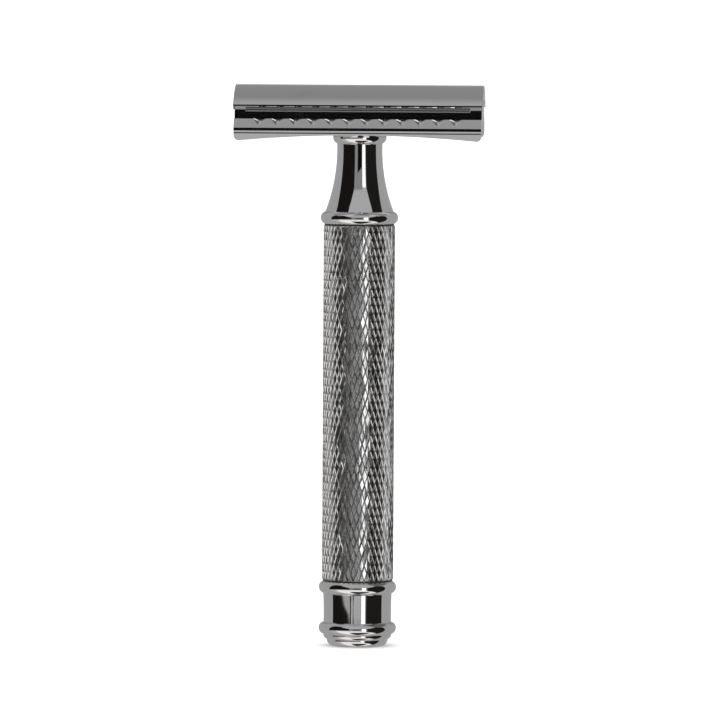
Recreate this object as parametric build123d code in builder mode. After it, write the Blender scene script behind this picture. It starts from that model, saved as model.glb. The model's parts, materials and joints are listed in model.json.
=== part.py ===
"""Three-piece double-edge safety razor, in millimetres.

The handle stands on +Z with the origin at the centre of its foot. The head lies along X, so its two
cutting edges face -Y and +Y. Heights are measured from the foot, and the head is laid out downwards
from the top of the cap.
"""
import os
from math import cos, degrees, radians, sin, sqrt, tan

from build123d import *

os.makedirs("parts", exist_ok=True)

# Driving dimensions: whole razor
total_height = 94.0

# Knob, a turned end piece: domed foot, step, ring, slightly hollow waist, ring
foot_r = 4.4
foot_middle_r = 4.9
foot_middle_z = 0.4
foot_top_r = 5.1
foot_top_z = 1.15
step_bottom_r = 5.25
step_middle_r = 5.6
step_middle_z = 1.45
step_top_r = 5.71
ring_r = 6.5
lower_ring_bottom_z = 1.95
lower_ring_z = 2.92
lower_ring_top_z = 4.05
knob_waist_r = 5.68
waist_taper = 0.07
upper_ring_bottom_z = 8.8
upper_ring_z = 9.98
knob_top_z = 10.9

# Grip, a knurled tube between two black spacer washers
grip_r = 6.0
grip_bottom_z = 11.12
grip_top_z = 70.5
grip_edge = 0.2
bore_r = 4.6
seal_r = 5.84
spigot_length = 3.8

# Tie rod that pulls knob, grip and neck together
rod_r = 1.75
rod_bottom_z = 5.2
rod_top_z = 74.8
rod_bore_spare = 0.2
rod_chamfer = 0.3

# Neck, from its ring up to the collar under the head
neck_bottom_z = 70.72
neck_ring_z = 71.75
flare_bottom_r = 5.7
flare_bottom_z = 72.85
flare_middle_r = 4.31
flare_middle_z = 77.75
neck_waist_r = 3.81
neck_waist_z = 84.1
collar_r = 4.48
collar_z = 85.35
collar_top_r = 4.0
collar_top_z = 86.15

# Screw thread between head and handle, M5 x 0.8
thread_r = 2.5
thread_pitch = 0.8
thread_depth = 0.49
thread_root_width = 0.72
thread_crest_width = 0.12
thread_overlap = 0.05
thread_clearance = 0.05
thread_turns = 12
stud_bottom_z = 78.5
stud_lead = 0.5
stud_spigot_r = 2.0
stud_chamfer = 0.3
neck_bore_bottom_z = 77.9

# Head cross-section, as heights below the top of the cap
cap_length = 41.5
cap_half_width = 10.6
crease_drop = 3.15
cap_rim_height = 0.24
lip_half_width = 10.16
lip_round = 0.1
cap_thickness = 2.2
clamp_r = 29.7
cap_end_round = 0.12
socket_drop = 0.9

blade_length = 41.3
blade_width = 22.0
blade_thickness = 0.1
blade_edge_length = 37.3
blade_tab_width = 13.0
blade_slot_width = 2.6
blade_slot_length = 33.0
blade_gap = 0.03
blade_grind = 0.35
blade_stud_spare = 0.6
blade_pin_spare = 0.2

pin_r = 1.5
pin_x = 12.5
pin_drop = 5.4
pin_hole_r = 1.58
pin_chamfer = 0.3

guard_length = 41.1
platform_half_width = 8.9
crest_drop = 5.46
crest_half_width = 11.2
crest_flat = 0.45
rim_half_width = 12.45
rim_drop = 6.93
rim_height = 0.47
step_inset = 0.3
step_drop = 7.88
guard_drop = 9.1
underside_half_width = 10.9
arch_rise = 0.95
guard_corner_r = 0.8
hollow_half_width = 9.8
hollow_drop = 5.9
boss_r = 4.6
boss_drop = 7.8
guard_hole_r = 2.75
trough_length = 34.6
trough_drop = 6.9
trough_corner_r = 0.6

# Scallops: shallow V cuts with a rounded floor that runs out on the bar's bevel
scallops = 12
scallop_pitch = 2.96
scallop_slope = 38.0
scallop_drop = 6.62
scallop_flank = 15.5
scallop_height = 0.4
scallop_floor_r = 0.8
scallop_reach = 2.2

# Heights and places worked out from the driving dimensions
knob_middle_z = (lower_ring_top_z + upper_ring_bottom_z) / 2
knob_waist_top_r = knob_waist_r + waist_taper
seal_thickness = grip_bottom_z - knob_top_z
clamp_centre_z = total_height - cap_thickness - clamp_r
crease_z = total_height - crease_drop
crest_z = total_height - crest_drop
rim_z = total_height - rim_drop
rim_bottom_z = rim_z - rim_height
step_z = total_height - step_drop
guard_bottom_z = total_height - guard_drop
socket_top_z = total_height - socket_drop
blade_top_r = clamp_r - blade_gap
blade_bottom_r = blade_top_r - blade_thickness
platform_r = blade_bottom_r - blade_gap
stud_core_r = thread_r - thread_depth
shank_bottom_z = stud_bottom_z + stud_lead + thread_turns * thread_pitch


def clamp_z(radius, y):
    """Height of the clamping curve of this radius at distance y from the head's centre line."""
    return clamp_centre_z + sqrt(radius**2 - y**2)


def on_clamp(radius, angle):
    """Point of the clamping curve of this radius, as (y, z), at an angle in degrees from the top."""
    return (radius * sin(radians(angle)), clamp_centre_z + radius * cos(radians(angle)))


def write(piece, name):
    """Label a finished piece and write its own STEP file."""
    piece.part.label = name
    export_step(piece.part, f"parts/{name}.step")


# End knob: stepped foot, two rings with a plain waist between them, and a spigot inside the grip
with BuildPart() as end_knob:
    with BuildSketch(Plane.XZ):
        with BuildLine():
            Line((0, 0), (foot_r, 0))
            ThreePointArc((foot_r, 0), (foot_middle_r, foot_middle_z), (foot_top_r, foot_top_z))
            Line((foot_top_r, foot_top_z), (step_bottom_r, foot_top_z))
            ThreePointArc(
                (step_bottom_r, foot_top_z),
                (step_middle_r, step_middle_z),
                (step_top_r, lower_ring_bottom_z),
            )
            ThreePointArc(
                (step_top_r, lower_ring_bottom_z),
                (ring_r, lower_ring_z),
                (knob_waist_r, lower_ring_top_z),
            )
            ThreePointArc(
                (knob_waist_r, lower_ring_top_z),
                (knob_waist_r, knob_middle_z),
                (knob_waist_top_r, upper_ring_bottom_z),
            )
            ThreePointArc(
                (knob_waist_top_r, upper_ring_bottom_z), (ring_r, upper_ring_z), (seal_r, knob_top_z)
            )
            Line((seal_r, knob_top_z), (bore_r, knob_top_z))
            Line((bore_r, knob_top_z), (bore_r, knob_top_z + spigot_length))
            Line((bore_r, knob_top_z + spigot_length), (0, knob_top_z + spigot_length))
            Line((0, knob_top_z + spigot_length), (0, 0))
        make_face()
    revolve(axis=Axis.Z)
    with BuildSketch(Plane.XY.offset(rod_bottom_z - rod_bore_spare)):
        Circle(rod_r)
    extrude(amount=knob_top_z + spigot_length, mode=Mode.SUBTRACT)
write(end_knob, "end_knob")

# Spacer washers, the thin black lines at the two ends of the grip
for seal_name, seal_z in (("lower_seal", knob_top_z), ("upper_seal", grip_top_z)):
    with BuildPart() as seal:
        with BuildSketch(Plane.XY.offset(seal_z)):
            Circle(seal_r)
            Circle(bore_r, mode=Mode.SUBTRACT)
        extrude(amount=seal_thickness)
    write(seal, seal_name)

# Grip sleeve: the tube that carries the knurling
with BuildPart() as grip_sleeve:
    with BuildSketch(Plane.XY.offset(grip_bottom_z)):
        Circle(grip_r)
        Circle(bore_r, mode=Mode.SUBTRACT)
    extrude(amount=grip_top_z - grip_bottom_z)
    grip_rims = grip_sleeve.edges().filter_by(GeomType.CIRCLE).group_by(lambda e: e.radius)[-1]
    chamfer(grip_rims, grip_edge)
write(grip_sleeve, "grip_sleeve")

# Tie rod along the handle's axis
with BuildPart() as tie_rod:
    with BuildSketch(Plane.XY.offset(rod_bottom_z)):
        Circle(rod_r)
    extrude(amount=rod_top_z - rod_bottom_z)
    chamfer(tie_rod.edges().filter_by(GeomType.CIRCLE), rod_chamfer)
write(tie_rod, "tie_rod")

# Neck: ring, hollow flare and collar, with the rod's bore below and the head's screw hole above
with BuildPart() as neck:
    with BuildSketch(Plane.XZ):
        with BuildLine():
            Line((0, neck_bottom_z - spigot_length), (bore_r, neck_bottom_z - spigot_length))
            Line((bore_r, neck_bottom_z - spigot_length), (bore_r, neck_bottom_z))
            Line((bore_r, neck_bottom_z), (seal_r, neck_bottom_z))
            ThreePointArc(
                (seal_r, neck_bottom_z), (ring_r, neck_ring_z), (flare_bottom_r, flare_bottom_z)
            )
            ThreePointArc(
                (flare_bottom_r, flare_bottom_z),
                (flare_middle_r, flare_middle_z),
                (neck_waist_r, neck_waist_z),
            )
            ThreePointArc(
                (neck_waist_r, neck_waist_z), (collar_r, collar_z), (collar_top_r, collar_top_z)
            )
            Line((collar_top_r, collar_top_z), (0, collar_top_z))
            Line((0, collar_top_z), (0, neck_bottom_z - spigot_length))
        make_face()
    revolve(axis=Axis.Z)
    with BuildSketch(Plane.XY.offset(neck_bottom_z - spigot_length)):
        Circle(rod_r)
    extrude(amount=rod_top_z + rod_bore_spare - neck_bottom_z + spigot_length, mode=Mode.SUBTRACT)
    with BuildSketch(Plane.XY.offset(neck_bore_bottom_z)):
        Circle(thread_r + thread_clearance)
    extrude(amount=collar_top_z - neck_bore_bottom_z, mode=Mode.SUBTRACT)
write(neck, "neck")

# Guard plate: curved platform, rinsing trough, scalloped safety bar, stepped rim, arched underside
with BuildPart() as base_plate:
    with BuildSketch(Plane.YZ):
        with BuildLine():
            RadiusArc(
                (0, clamp_centre_z + platform_r),
                (platform_half_width, clamp_z(platform_r, platform_half_width)),
                platform_r,
            )
            Polyline(
                (platform_half_width, clamp_z(platform_r, platform_half_width)),
                (platform_half_width, crest_z),
                (crest_half_width, crest_z),
                (rim_half_width, rim_z),
                (rim_half_width, rim_bottom_z),
                (rim_half_width - step_inset, rim_bottom_z - step_inset),
                (rim_half_width - step_inset, step_z),
                (underside_half_width, guard_bottom_z),
                (0, guard_bottom_z),
                (0, clamp_centre_z + platform_r),
            )
        make_face()
        mirror(about=Plane.YZ)
    extrude(amount=guard_length / 2, both=True)

    # seen from the front, the ends have rounded lower corners and the bottom is a long shallow arch
    end_x = guard_length / 2
    arch_end_x = end_x - guard_corner_r
    with BuildSketch(Plane.XZ):
        with BuildLine():
            ThreePointArc(
                (-arch_end_x, guard_bottom_z), (0, guard_bottom_z + arch_rise), (arch_end_x, guard_bottom_z)
            )
            RadiusArc(
                (arch_end_x, guard_bottom_z), (end_x, guard_bottom_z + guard_corner_r), -guard_corner_r
            )
            Polyline(
                (end_x, guard_bottom_z + guard_corner_r),
                (end_x, total_height),
                (-end_x, total_height),
                (-end_x, guard_bottom_z + guard_corner_r),
            )
            RadiusArc(
                (-end_x, guard_bottom_z + guard_corner_r), (-arch_end_x, guard_bottom_z), -guard_corner_r
            )
        make_face()
    extrude(amount=rim_half_width, both=True, mode=Mode.INTERSECT)

    # between the two bars the underside is hollowed, down to a boss that sits on the collar
    with BuildSketch(Plane.YZ):
        with BuildLine():
            ThreePointArc(
                (-hollow_half_width, guard_bottom_z),
                (0, total_height - hollow_drop),
                (hollow_half_width, guard_bottom_z),
            )
            Line((hollow_half_width, guard_bottom_z), (-hollow_half_width, guard_bottom_z))
        make_face()
    extrude(amount=end_x, both=True, mode=Mode.SUBTRACT)
    with BuildSketch(Plane.XY.offset(total_height - boss_drop)):
        Circle(boss_r)
    extrude(amount=boss_drop - hollow_drop + arch_rise)

    # one trough on each side, between the platform and the safety bar
    bar_inside_y = crest_half_width - crest_flat
    trough_width = bar_inside_y - platform_half_width
    with BuildSketch(Plane.XY.offset(total_height - trough_drop)):
        with GridLocations(0, bar_inside_y + platform_half_width, 1, 2):
            RectangleRounded(trough_length, trough_width, trough_corner_r)
    extrude(amount=trough_drop, mode=Mode.SUBTRACT)

    # scallops through the top of each safety bar
    bevel_run = (rim_half_width - crest_half_width) / (rim_drop - crest_drop)
    scallop_y = crest_half_width + (scallop_drop - crest_drop) * bevel_run
    scallop_half_width = scallop_height / tan(radians(scallop_flank))
    for side in (-1, 1):
        cut_plane = Plane(
            origin=(0, side * scallop_y, total_height - scallop_drop),
            x_dir=(-side, 0, 0),
            z_dir=(0, side * cos(radians(scallop_slope)), -sin(radians(scallop_slope))),
        )
        with BuildSketch(cut_plane) as scallop_section:
            with GridLocations(scallop_pitch, 0, scallops, 1):
                Polygon(
                    (0, 0),
                    (scallop_half_width, scallop_height),
                    (-scallop_half_width, scallop_height),
                    align=None,
                )
            fillet(scallop_section.vertices().group_by(Axis.Y)[0], scallop_floor_r)
        extrude(amount=scallop_reach, both=True, mode=Mode.SUBTRACT)

    # screw hole and the two pin holes
    with BuildSketch(Plane.XY.offset(guard_bottom_z)):
        Circle(guard_hole_r)
        with GridLocations(2 * pin_x, 0, 2, 1):
            Circle(pin_hole_r)
    extrude(amount=guard_drop, mode=Mode.SUBTRACT)
write(base_plate, "base_plate")

# Blade: a thin strip bent over the platform, ground to an edge on both long sides
edge_angle = degrees(blade_width / 2 / blade_top_r)
grind_angle = edge_angle - degrees(blade_grind / blade_top_r)
blade_middle_r = (blade_top_r + blade_bottom_r) / 2
with BuildPart() as blade:
    with BuildSketch(Plane.YZ):
        with BuildLine():
            ThreePointArc(
                on_clamp(blade_top_r, -grind_angle),
                on_clamp(blade_top_r, 0),
                on_clamp(blade_top_r, grind_angle),
            )
            Polyline(
                on_clamp(blade_top_r, grind_angle),
                on_clamp(blade_middle_r, edge_angle),
                on_clamp(blade_bottom_r, grind_angle),
            )
            ThreePointArc(
                on_clamp(blade_bottom_r, grind_angle),
                on_clamp(blade_bottom_r, 0),
                on_clamp(blade_bottom_r, -grind_angle),
            )
            Polyline(
                on_clamp(blade_bottom_r, -grind_angle),
                on_clamp(blade_middle_r, -edge_angle),
                on_clamp(blade_top_r, -grind_angle),
            )
        make_face()
    extrude(amount=blade_length / 2, both=True)
    with BuildSketch(Plane.XY.offset(clamp_centre_z)):
        Rectangle(blade_edge_length, blade_width)
        Rectangle(blade_length, blade_tab_width)
        SlotOverall(blade_slot_length, blade_slot_width, mode=Mode.SUBTRACT)
        Circle(thread_r + blade_stud_spare, mode=Mode.SUBTRACT)
        with GridLocations(2 * pin_x, 0, 2, 1):
            Circle(pin_r + blade_pin_spare, mode=Mode.SUBTRACT)
    extrude(amount=clamp_r, mode=Mode.INTERSECT)
write(blade, "blade")

# Cap: domed top, a narrow upright rim, and an edge face that leans in to the clamping lip
lip_z = clamp_z(clamp_r, lip_half_width)
rim_low_z = crease_z - cap_rim_height
with BuildPart() as top_cap:
    with BuildSketch(Plane.YZ) as cap_section:
        with BuildLine():
            ThreePointArc((-cap_half_width, crease_z), (0, total_height), (cap_half_width, crease_z))
            Polyline((cap_half_width, crease_z), (cap_half_width, rim_low_z), (lip_half_width, lip_z))
            ThreePointArc(
                (lip_half_width, lip_z), (0, clamp_centre_z + clamp_r), (-lip_half_width, lip_z)
            )
            Polyline(
                (-lip_half_width, lip_z), (-cap_half_width, rim_low_z), (-cap_half_width, crease_z)
            )
        make_face()
        fillet(cap_section.vertices().group_by(Axis.Y)[0], lip_round)
    extrude(amount=cap_length / 2, both=True)
    with BuildSketch(Plane.XY.offset(socket_top_z)):
        Circle(stud_spigot_r)
        with GridLocations(2 * pin_x, 0, 2, 1):
            Circle(pin_r)
    extrude(amount=-cap_thickness, mode=Mode.SUBTRACT)
    fillet(top_cap.faces().filter_by(Axis.X).edges(), cap_end_round)
write(top_cap, "top_cap")

# Threaded stud, pressed into the cap and screwed into the neck
with BuildPart() as center_stud:
    with BuildSketch(Plane.XY.offset(stud_bottom_z)):
        Circle(stud_core_r)
    extrude(amount=shank_bottom_z - stud_bottom_z)
    chamfer(center_stud.edges().filter_by(GeomType.CIRCLE).sort_by(Axis.Z)[0], stud_chamfer)
    with BuildLine() as thread_path:
        Helix(thread_pitch, thread_turns * thread_pitch, stud_core_r, (0, 0, stud_bottom_z + stud_lead))
    with BuildSketch(
        Plane(origin=thread_path.line @ 0, x_dir=(1, 0, 0), z_dir=thread_path.line % 0)
    ):
        with BuildLine():
            Polyline(
                (-thread_overlap, -thread_root_width / 2),
                (thread_depth, -thread_crest_width / 2),
                (thread_depth, thread_crest_width / 2),
                (-thread_overlap, thread_root_width / 2),
                close=True,
            )
        make_face()
    sweep(path=thread_path.line, is_frenet=True)
    shoulder_z = clamp_z(clamp_r, thread_r)
    with BuildSketch(Plane.XY.offset(shank_bottom_z)):
        Circle(thread_r)
    extrude(amount=shoulder_z - shank_bottom_z)
    with BuildSketch(Plane.XY.offset(shoulder_z)):
        Circle(stud_spigot_r)
    extrude(amount=socket_top_z - shoulder_z)
write(center_stud, "center_stud")

# Pins that hold blade and guard square to the cap
for pin_name, pin_side in (("alignment_pin_left", -1), ("alignment_pin_right", 1)):
    pin_plane = Plane(origin=(pin_side * pin_x, 0, total_height - pin_drop))
    with BuildPart() as alignment_pin:
        with BuildSketch(pin_plane):
            Circle(pin_r)
        extrude(amount=socket_top_z - total_height + pin_drop)
        chamfer(alignment_pin.edges().filter_by(GeomType.CIRCLE).sort_by(Axis.Z)[0], pin_chamfer)
    write(alignment_pin, pin_name)
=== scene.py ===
"""Studio scene of the chrome safety razor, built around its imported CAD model. Lengths are in metres."""

import json
import math
import random

import bmesh
import bpy
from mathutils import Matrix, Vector

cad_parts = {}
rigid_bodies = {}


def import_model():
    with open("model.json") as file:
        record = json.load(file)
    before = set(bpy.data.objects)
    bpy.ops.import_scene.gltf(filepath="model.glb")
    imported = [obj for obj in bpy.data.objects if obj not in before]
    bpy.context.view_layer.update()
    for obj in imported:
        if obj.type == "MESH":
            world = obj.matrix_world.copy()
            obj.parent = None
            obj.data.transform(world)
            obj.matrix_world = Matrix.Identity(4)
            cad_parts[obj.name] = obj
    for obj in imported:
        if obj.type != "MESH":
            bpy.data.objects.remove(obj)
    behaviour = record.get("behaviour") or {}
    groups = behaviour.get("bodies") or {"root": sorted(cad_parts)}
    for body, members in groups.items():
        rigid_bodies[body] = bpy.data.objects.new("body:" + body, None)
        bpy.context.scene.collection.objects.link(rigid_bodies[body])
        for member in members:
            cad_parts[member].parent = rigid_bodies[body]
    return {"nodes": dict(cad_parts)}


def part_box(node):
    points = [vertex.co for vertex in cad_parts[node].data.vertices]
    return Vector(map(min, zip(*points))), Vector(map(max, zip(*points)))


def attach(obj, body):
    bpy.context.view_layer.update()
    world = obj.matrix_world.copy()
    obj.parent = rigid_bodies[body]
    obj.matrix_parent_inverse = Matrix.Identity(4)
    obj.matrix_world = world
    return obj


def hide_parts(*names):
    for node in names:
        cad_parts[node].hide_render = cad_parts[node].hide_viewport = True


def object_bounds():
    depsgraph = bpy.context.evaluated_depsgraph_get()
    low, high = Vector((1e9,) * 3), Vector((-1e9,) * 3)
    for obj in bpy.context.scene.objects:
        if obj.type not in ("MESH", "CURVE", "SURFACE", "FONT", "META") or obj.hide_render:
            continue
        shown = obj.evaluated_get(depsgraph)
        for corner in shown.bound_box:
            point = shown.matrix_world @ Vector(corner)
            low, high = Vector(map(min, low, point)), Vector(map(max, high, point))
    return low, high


for stray in list(bpy.data.objects):
    bpy.data.objects.remove(stray)

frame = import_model()
cad_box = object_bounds()

MM = 0.001
CAMERA_AZIMUTH = 2.1  # degrees towards the razor's right
CAMERA_DISTANCE = 1.5
CAMERA_HEIGHT = 0.135
CAMERA_LENS = 448.9
CAMERA_ROLL = 0.31  # degrees
AIM_SIDEWAYS = 0.22 * MM
AIM_ABOVE_MIDDLE = 0.9 * MM
FLOOR_HALF_WIDTH = 12.0
DIFFUSE_STRENGTH = 1.5
random.seed(4)


# ---------------------------------------------------------------- node helpers
class Tree:
    """A node tree with one short method for each kind of node that the looks below use."""

    def __init__(self, owner):
        owner.use_nodes = True
        self.nodes = owner.node_tree.nodes
        self.links = owner.node_tree.links
        self.nodes.clear()

    def add(self, kind, **settings):
        node = self.nodes.new(kind)
        for name, value in settings.items():
            setattr(node, name, value)
        return node

    def plug(self, socket, value):
        """Link an output into a socket, or set the socket to a constant."""
        if hasattr(value, "links"):
            self.links.new(value, socket)
        else:
            socket.default_value = value

    def math(self, operation, *values):
        node = self.add("ShaderNodeMath", operation=operation)
        for socket, value in zip(node.inputs, values):
            self.plug(socket, value)
        return node.outputs[0]

    def step(self, value, low, high):
        """0 below low, 1 above high, smooth between them; low may be above high."""
        node = self.add("ShaderNodeMapRange", interpolation_type="SMOOTHSTEP")
        self.plug(node.inputs["Value"], value)
        node.inputs["From Min"].default_value = low
        node.inputs["From Max"].default_value = high
        return node.outputs[0]

    def mix(self, factor, a, b):
        node = self.add("ShaderNodeMix", data_type="RGBA")
        self.plug(node.inputs[0], factor)
        self.plug(node.inputs[6], a)
        self.plug(node.inputs[7], b)
        return node.outputs[2]

    def mix_value(self, factor, a, b):
        node = self.add("ShaderNodeMix", data_type="FLOAT")
        self.plug(node.inputs[0], factor)
        self.plug(node.inputs[2], a)
        self.plug(node.inputs[3], b)
        return node.outputs[0]

    def noise(self, vector, scale, detail=2.0, roughness=0.5):
        node = self.add("ShaderNodeTexNoise")
        self.plug(node.inputs["Vector"], vector)
        node.inputs["Scale"].default_value = scale
        node.inputs["Detail"].default_value = detail
        node.inputs["Roughness"].default_value = roughness
        return node.outputs["Fac"]

    def stretch(self, vector, scale):
        node = self.add("ShaderNodeMapping")
        self.plug(node.inputs["Vector"], vector)
        node.inputs["Scale"].default_value = scale
        return node.outputs[0]

    def bump(self, height, distance, strength=1.0, normal=None):
        node = self.add("ShaderNodeBump")
        self.plug(node.inputs["Height"], height)
        node.inputs["Distance"].default_value = distance
        node.inputs["Strength"].default_value = strength
        if normal is not None:
            self.plug(node.inputs["Normal"], normal)
        return node.outputs[0]

    def position(self):
        return self.add("ShaderNodeTexCoord").outputs["Object"]


def grey(level, warmth=0.0):
    """A colour of this linear brightness, a little red of neutral where warmth is above 0."""
    return (level * (1 + warmth), level, level * (1 - warmth), 1.0)


# ---------------------------------------------------------------- materials
def surface(name):
    """A new material with its tree and its one shader."""
    material = bpy.data.materials.new(name)
    tree = Tree(material)
    shader = tree.add("ShaderNodeBsdfPrincipled")
    output = tree.add("ShaderNodeOutputMaterial")
    tree.links.new(shader.outputs[0], output.inputs["Surface"])
    return material, tree, shader


def metal(name, colour, roughness):
    """A new metal, with the settings that every metal here shares."""
    material, tree, shader = surface(name)
    shader.inputs["Metallic"].default_value = 1.0
    shader.inputs["Base Color"].default_value = colour
    shader.inputs["Roughness"].default_value = roughness
    return material, tree, shader


def polished_chrome(name, marks, satin_ends=0.0):
    """Bright plating: faint polishing marks, a little waviness, handling smudges and specks of dust.

    marks stretches the polishing marks: they are long where its scale is small. satin_ends is the
    roughness added on faces that look along X, which are milled and only lightly polished.
    """
    material, tree, shader = metal(name, grey(0.74), 0.05)
    place = tree.position()
    smudge = tree.step(tree.noise(place, 90, 3.0, 0.6), 0.52, 0.72)
    fine = tree.noise(tree.stretch(place, marks), 1.0, 3.0, 0.7)
    speck = tree.add("ShaderNodeTexVoronoi")
    tree.plug(speck.inputs["Vector"], place)
    speck.inputs["Scale"].default_value = 190
    dust = tree.math(
        "MULTIPLY",
        tree.step(speck.outputs["Distance"], 0.055, 0.03),
        tree.step(speck.outputs["Color"], 0.78, 0.8),
    )
    film = tree.mix(smudge, grey(0.76), grey(0.70, 0.012))
    tree.plug(shader.inputs["Base Color"], tree.mix(dust, film, grey(0.28)))
    hazy = tree.mix_value(smudge, 0.035, 0.075)
    worn = tree.math("ADD", hazy, tree.math("MULTIPLY", fine, 0.03))
    if satin_ends:
        facing = tree.add("ShaderNodeSeparateXYZ")
        tree.links.new(tree.add("ShaderNodeTexCoord").outputs["Normal"], facing.inputs[0])
        milled = tree.step(tree.math("ABSOLUTE", facing.outputs[0]), 0.92, 0.98)
        worn = tree.math("ADD", worn, tree.math("MULTIPLY", milled, satin_ends))
    tree.plug(shader.inputs["Roughness"], tree.math("ADD", worn, tree.math("MULTIPLY", dust, 0.4)))
    waves = tree.bump(tree.noise(place, 160, 1.0), 0.000012)
    tree.plug(shader.inputs["Normal"], tree.bump(fine, 0.0000006, 1.0, waves))
    return material


def knurled_chrome():
    """Plating over the knurl: bright worn crests, duller flanks and painted shade that darkens the grooves.
    """
    material, tree, shader = metal("knurled_chrome", grey(0.7), 0.16)
    place = tree.position()
    height = tree.add("ShaderNodeAttribute", attribute_name="crest").outputs["Fac"]
    grain = tree.noise(place, 2600, 3.0, 0.65)
    patches = tree.noise(place, 130, 2.0)
    # painted shade: by crest height, the low parts of the knurl get the dark grey below in place of the
    # plating's colour, with a little noise in its edge
    groove_painted_shade = tree.step(tree.math("ADD", height, tree.math("MULTIPLY", grain, 0.3)), 0.72, 0.16)
    flank = tree.mix(patches, grey(0.68), grey(0.78))
    tree.plug(shader.inputs["Base Color"], tree.mix(groove_painted_shade, flank, grey(0.14, 0.02)))
    dull = tree.mix_value(groove_painted_shade, 0.15, 0.35)
    tree.plug(shader.inputs["Roughness"], tree.math("ADD", dull, tree.math("MULTIPLY", grain, 0.08)))
    tree.plug(shader.inputs["Normal"], tree.bump(grain, 0.000008))
    return material


def brushed_steel(name, marks, level, roughness):
    """Plain steel with fine drawn marks along one direction and a faint mottled tone."""
    material, tree, shader = metal(name, grey(level), roughness)
    place = tree.position()
    lines = tree.noise(tree.stretch(place, marks), 1.0, 4.0, 0.7)
    tone = tree.noise(place, 260, 2.0)
    shade = tree.mix(lines, grey(level * 0.82), grey(level * 1.08))
    tree.plug(shader.inputs["Base Color"], tree.mix(tone, shade, grey(level * 0.94)))
    tree.plug(shader.inputs["Roughness"], tree.mix_value(lines, roughness * 0.7, roughness * 1.4))
    tree.plug(shader.inputs["Normal"], tree.bump(lines, 0.000002))
    return material


def black_rubber():
    """Matt black washer rubber with a fine moulded grain."""
    material, tree, shader = surface("seal_rubber")
    place = tree.position()
    grain = tree.noise(place, 3500, 2.0)
    tree.plug(shader.inputs["Base Color"], tree.mix(grain, grey(0.006), grey(0.016)))
    tree.plug(shader.inputs["Roughness"], tree.mix_value(grain, 0.5, 0.7))
    tree.plug(shader.inputs["Normal"], tree.bump(grain, 0.00001))
    return material


def pale_floor():
    """The studio floor: matt, near white, with a trace of paper grain."""
    material, tree, shader = surface("floor_paper")
    grain = tree.noise(tree.position(), 900, 2.0)
    tree.plug(shader.inputs["Base Color"], tree.mix(grain, grey(0.955), grey(0.965)))
    shader.inputs["Roughness"].default_value = 0.9
    shader.inputs["Specular IOR Level"].default_value = 0.1
    return material


def dress(node, material):
    """Give a CAD node its material in every slot."""
    slots = frame["nodes"][node].data.materials
    for index in range(len(slots)):
        slots[index] = material


# ---------------------------------------------------------------- knurled grip
KNURL_STARTS = 42
KNURL_PITCH = 2.71 * MM
KNURL_DEPTH = 0.17 * MM
CREST_SHARE = 0.66
KNURL_WEAR = 0.045 * MM
END_BEVEL = 0.12 * MM
END_CREST = 0.6  # where the end bevels sit on the scale from groove to crest, which sets how much painted groove shade they get
BORE_PER_KNOB_RADIUS = 0.71  # the bore as a share of the knob's ring, the frame's nearest measure


def knurled_grip(material):
    """The grip tube with crossed helical grooves that leave a flat-topped pyramid in every diamond."""
    low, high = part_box("grip_sleeve")
    outer = high.x
    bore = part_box("end_knob")[1].x * BORE_PER_KNOB_RADIUS
    row_height = KNURL_PITCH / 2
    turn = math.pi / KNURL_STARTS
    rows = int((high.z - low.z) / row_height) + 4
    mesh = bmesh.new()
    crest = mesh.verts.layers.float.new("crest")
    corners = {}

    def vertex(radius, angle, z, level):
        v = mesh.verts.new((radius * math.cos(angle), radius * math.sin(angle), z))
        v[crest] = level
        return v

    def worn():
        """Radius of one corner of a diamond's top, each a little different."""
        return outer - KNURL_WEAR * random.random()

    def corner(row, step):
        """The crossing of two grooves, shared by the four diamonds around it."""
        key = (row, step % (2 * KNURL_STARTS))
        if key not in corners:
            corners[key] = vertex(outer - KNURL_DEPTH, key[1] * turn, low.z + (row - 2) * row_height, 0.0)
        return corners[key]

    for row in range(rows):
        for start in range(KNURL_STARTS):
            step = 2 * start + row % 2
            around = [
                corner(row, step),
                corner(row + 1, step + 1),
                corner(row + 2, step),
                corner(row + 1, step - 1),
            ]
            angle = step * turn
            z = low.z + (row - 1) * row_height
            share = CREST_SHARE * random.uniform(0.85, 1.15)
            top = [
                vertex(worn(), angle, z - share * row_height, 1.0),
                vertex(worn(), angle + share * turn, z, 1.0),
                vertex(worn(), angle, z + share * row_height, 1.0),
                vertex(worn(), angle - share * turn, z, 1.0),
            ]
            mesh.faces.new(top)
            for side in range(4):
                after = (side + 1) % 4
                mesh.faces.new((around[side], around[after], top[after], top[side]))

    # cut the pattern to length, then turn each end in over a small bevel to the bore
    rims = []
    for end, inward in ((low.z, 1), (high.z, -1)):
        cut = end + inward * END_BEVEL
        bmesh.ops.bisect_plane(
            mesh,
            geom=mesh.verts[:] + mesh.edges[:] + mesh.faces[:],
            dist=1e-8,
            plane_co=(0, 0, cut),
            plane_no=(0, 0, -inward),
            clear_outer=True,
        )
        rim = [e for e in mesh.edges if e.is_boundary and all(abs(v.co.z - cut) < 1e-7 for v in e.verts)]
        for radius, z in ((outer - KNURL_DEPTH, end), (bore, end)):
            made = bmesh.ops.extrude_edge_only(mesh, edges=rim)["geom"]
            rim = [g for g in made if isinstance(g, bmesh.types.BMEdge) and g.is_boundary]
            for v in {v for e in rim for v in e.verts}:
                flat = Vector((v.co.x, v.co.y, 0)).normalized() * radius
                v.co = (flat.x, flat.y, z)
                v[crest] = END_CREST
        rims += rim
    bmesh.ops.bridge_loops(mesh, edges=rims)
    bmesh.ops.recalc_face_normals(mesh, faces=mesh.faces[:])
    data = bpy.data.meshes.new("grip_knurl")
    mesh.to_mesh(data)
    mesh.free()
    data.materials.append(material)
    piece = bpy.data.objects.new("grip_knurl", data)
    bpy.context.scene.collection.objects.link(piece)
    return piece


# ---------------------------------------------------------------- studio
EVERYWHERE = (-400, 400)

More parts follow.
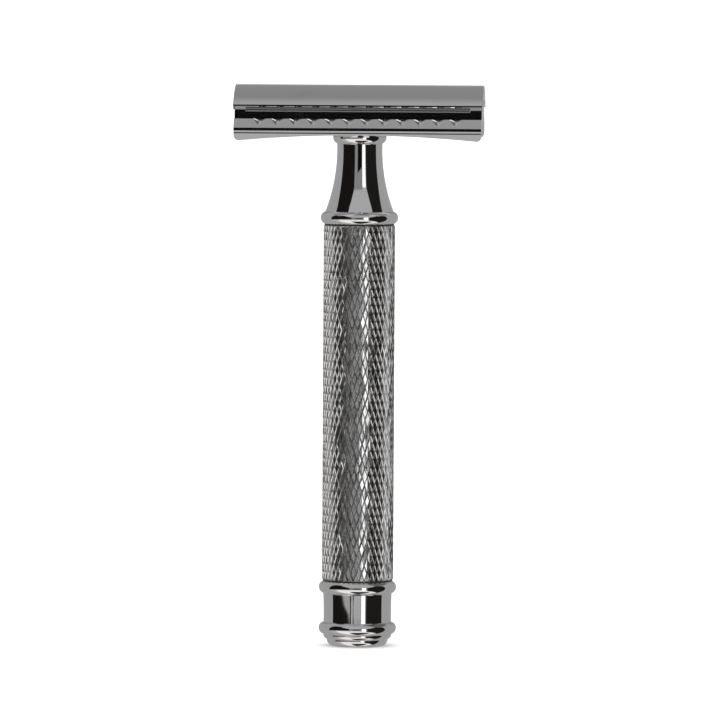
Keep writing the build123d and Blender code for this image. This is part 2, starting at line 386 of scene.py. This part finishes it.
# colour, azimuths, elevations and softness of each edge, all in degrees; a later panel covers an earlier one
ROOM_PANELS = (
    (grey(0.29), (150, 200), (14, 58), 6),  # back wall, right of the middle
    (grey(0.29), (-200, -150), (14, 58), 6),  # the same, left
    (grey(0.48), EVERYWHERE, (64.5, 74), 3),  # edge of the ceiling
    (grey(0.37), EVERYWHERE, (74, 120), 3),  # ceiling
    (grey(0.48), (-60, 60), (22, 66), 5),  # front wall above the camera
    (grey(0.5), EVERYWHERE, (-120, -70), 4),  # ground under the razor
    (grey(0.13), (68, 165), (38, 74), 4),  # dark corner on the right
    (grey(0.85), (172, 200), (-10, 8), 2),  # low light behind, right of the middle
    (grey(0.85), (-200, -172), (-10, 8), 2),  # the same, left
    (grey(0.52, 0.06), (-92, 92), (-120, -16), 4),  # table, warm and dim at its sides
    (grey(1.03, 0.035), (-68, 75), (-120, -16), 3),  # table, lit
    (grey(0.02), (-28, 47), (-120, -43), 2),  # dark patch near the razor's foot
)
FRONT_PANELS = (
    (grey(0.27), (-24.5, 12), (-4, 24), 0.5),  # wall behind the camera
    (grey(0.02), (-25.6, -12), (-13, -4), 0.4),  # two dark uprights ...
    (grey(0.5), (-21, -16), (-13, -4), 0.5),  # ... with a lit gap between them
    (grey(0.47), (-12, 12), (-13, -4), 0.3),  # lit band under the camera
)


def studio_world():
    """White to the camera, soft white on matt surfaces, and for reflections a grey room with its panels.

    A panel is a patch of sky in degrees: azimuth counted from the camera's side, positive towards the
    razor's right, and elevation. Black flags stand left and right, a bright strip light beside the lens.
    """
    world = bpy.data.worlds.new("studio")
    bpy.context.scene.world = world
    tree = Tree(world)
    direction = tree.add("ShaderNodeSeparateXYZ")
    tree.links.new(tree.add("ShaderNodeTexCoord").outputs["Generated"], direction.inputs[0])
    x, y, z = direction.outputs
    turned = tree.math("ARCTAN2", x, tree.math("MULTIPLY", y, -1.0))
    azimuth = tree.math("SUBTRACT", tree.math("DEGREES", turned), CAMERA_AZIMUTH)
    elevation = tree.math("DEGREES", tree.math("ARCSINE", z))
    lift = tree.math("MAXIMUM", tree.math("SUBTRACT", elevation, 22.0), 0.0)
    left_inner = tree.math("ADD", azimuth, tree.math("MULTIPLY", lift, 1.5))
    right_inner = tree.math("SUBTRACT", azimuth, tree.math("MULTIPLY", lift, 1.75))
    outward = tree.math("MULTIPLY", tree.math("ADD", azimuth, 24.0), -0.13)
    left_sag = tree.math("ADD", elevation, tree.math("MINIMUM", tree.math("MAXIMUM", outward, 0.0), 13.0))
    beyond = tree.math("MAXIMUM", tree.math("SUBTRACT", azimuth, 32.0), 0.0)
    right_sag = tree.math("ADD", elevation, tree.math("MULTIPLY", beyond, 0.43))
    lean = tree.math("MULTIPLY", tree.math("MAXIMUM", tree.math("ADD", azimuth, 10.0), 0.0), 0.2)
    lens_top = tree.math("ADD", elevation, tree.math("MULTIPLY", lean, tree.step(elevation, 2.0, 8.0)))

    def between(value, low, high, soft):
        rises = tree.step(value, low - soft, low + soft)
        falls = tree.step(value, high + soft, high - soft)
        return tree.math("MULTIPLY", rises, falls)

    def panel(below, colour, across, up, soft=0.6, inner=None, height=elevation):
        """Paint one patch over what is below; inner is a slanted azimuth that also has to be in it."""
        mask = tree.math("MULTIPLY", between(azimuth, *across, soft), between(height, *up, soft))
        if inner is not None:
            mask = tree.math("MULTIPLY", mask, between(inner, *across, soft))
        return tree.mix(mask, below, colour)

    room = grey(0.41)
    for colour, across, up, soft in ROOM_PANELS:
        room = panel(room, colour, across, up, soft)
    room = panel(room, grey(0.009, 0.15), (-92.6, -23.3), (-4.6, 57), 0.7, left_inner, left_sag)
    room = panel(room, grey(0.013, 0.05), (29, 91), (-30, 57), 0.7, right_inner, right_sag)
    for colour, across, up, soft in FRONT_PANELS:
        room = panel(room, colour, across, up, soft)
    room = panel(room, grey(0.005), (-10.8, 10.5), (-4.4, 13.5), 0.4, None, lens_top)
    room = panel(room, grey(1.9), (14, 25.5), (-14, 22), 0.5)

    shine = tree.add("ShaderNodeBackground")
    tree.plug(shine.inputs["Color"], room)
    white = tree.add("ShaderNodeBackground")
    white.inputs["Color"].default_value = grey(1.0)
    white.inputs["Strength"].default_value = DIFFUSE_STRENGTH
    path = tree.add("ShaderNodeLightPath")
    choose = tree.add("ShaderNodeMixShader")
    tree.links.new(path.outputs["Is Glossy Ray"], choose.inputs[0])
    tree.links.new(white.outputs[0], choose.inputs[1])
    tree.links.new(shine.outputs[0], choose.inputs[2])
    output = tree.add("ShaderNodeOutputWorld")
    tree.links.new(choose.outputs[0], output.inputs["Surface"])
    world.cycles.sampling_method = "NONE"


def floor():
    """A wide matt floor at the razor's foot. Reflections see the studio room instead of it."""
    half = FLOOR_HALF_WIDTH
    data = bpy.data.meshes.new("studio_floor")
    base = cad_box[0].z
    sides = ((-half, -half), (half, -half), (half, half), (-half, half))
    data.from_pydata([(x, y, base) for x, y in sides], [], [(0, 1, 2, 3)])
    data.materials.append(pale_floor())
    plane = bpy.data.objects.new("studio_floor", data)
    bpy.context.scene.collection.objects.link(plane)
    plane.visible_glossy = False


def camera():
    """A long lens a little above the head, turned slightly to the razor's right."""
    data = bpy.data.cameras.new("camera")
    data.lens = CAMERA_LENS
    data.clip_end = 60.0
    eye = bpy.data.objects.new("camera", data)
    bpy.context.scene.collection.objects.link(eye)
    turn = math.radians(CAMERA_AZIMUTH)
    eye.location = (CAMERA_DISTANCE * math.sin(turn), -CAMERA_DISTANCE * math.cos(turn), CAMERA_HEIGHT)
    middle = (cad_box[0].z + cad_box[1].z) / 2
    target = Vector((AIM_SIDEWAYS, 0.0, middle + AIM_ABOVE_MIDDLE))
    aim = (target - eye.location).to_track_quat("-Z", "Y")
    eye.rotation_euler = aim.to_euler()
    eye.rotation_euler.rotate_axis("Z", math.radians(CAMERA_ROLL))
    bpy.context.scene.camera = eye


# ---------------------------------------------------------------- assembly
turned_chrome = polished_chrome("chrome_turned", (300, 300, 9000))
head_chrome = polished_chrome("chrome_head", (260, 5200, 5200), 0.26)
knurl_metal = knurled_chrome()
blade_steel = brushed_steel("blade_steel", (500, 14000, 14000), 0.38, 0.22)
stud_steel = brushed_steel("stud_steel", (900, 900, 16000), 0.6, 0.2)
rubber = black_rubber()

dress("end_knob", turned_chrome)
dress("neck", turned_chrome)
dress("top_cap", head_chrome)
dress("base_plate", head_chrome)
dress("blade", blade_steel)
for steel_node in ("center_stud", "alignment_pin_left", "alignment_pin_right", "tie_rod"):
    dress(steel_node, stud_steel)
for seal_node in ("lower_seal", "upper_seal"):
    dress(seal_node, rubber)

grip = knurled_grip(knurl_metal)
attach(grip, "handle")
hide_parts("grip_sleeve")

studio_world()
floor()
camera()
bpy.context.scene.view_settings.view_transform = "Standard"
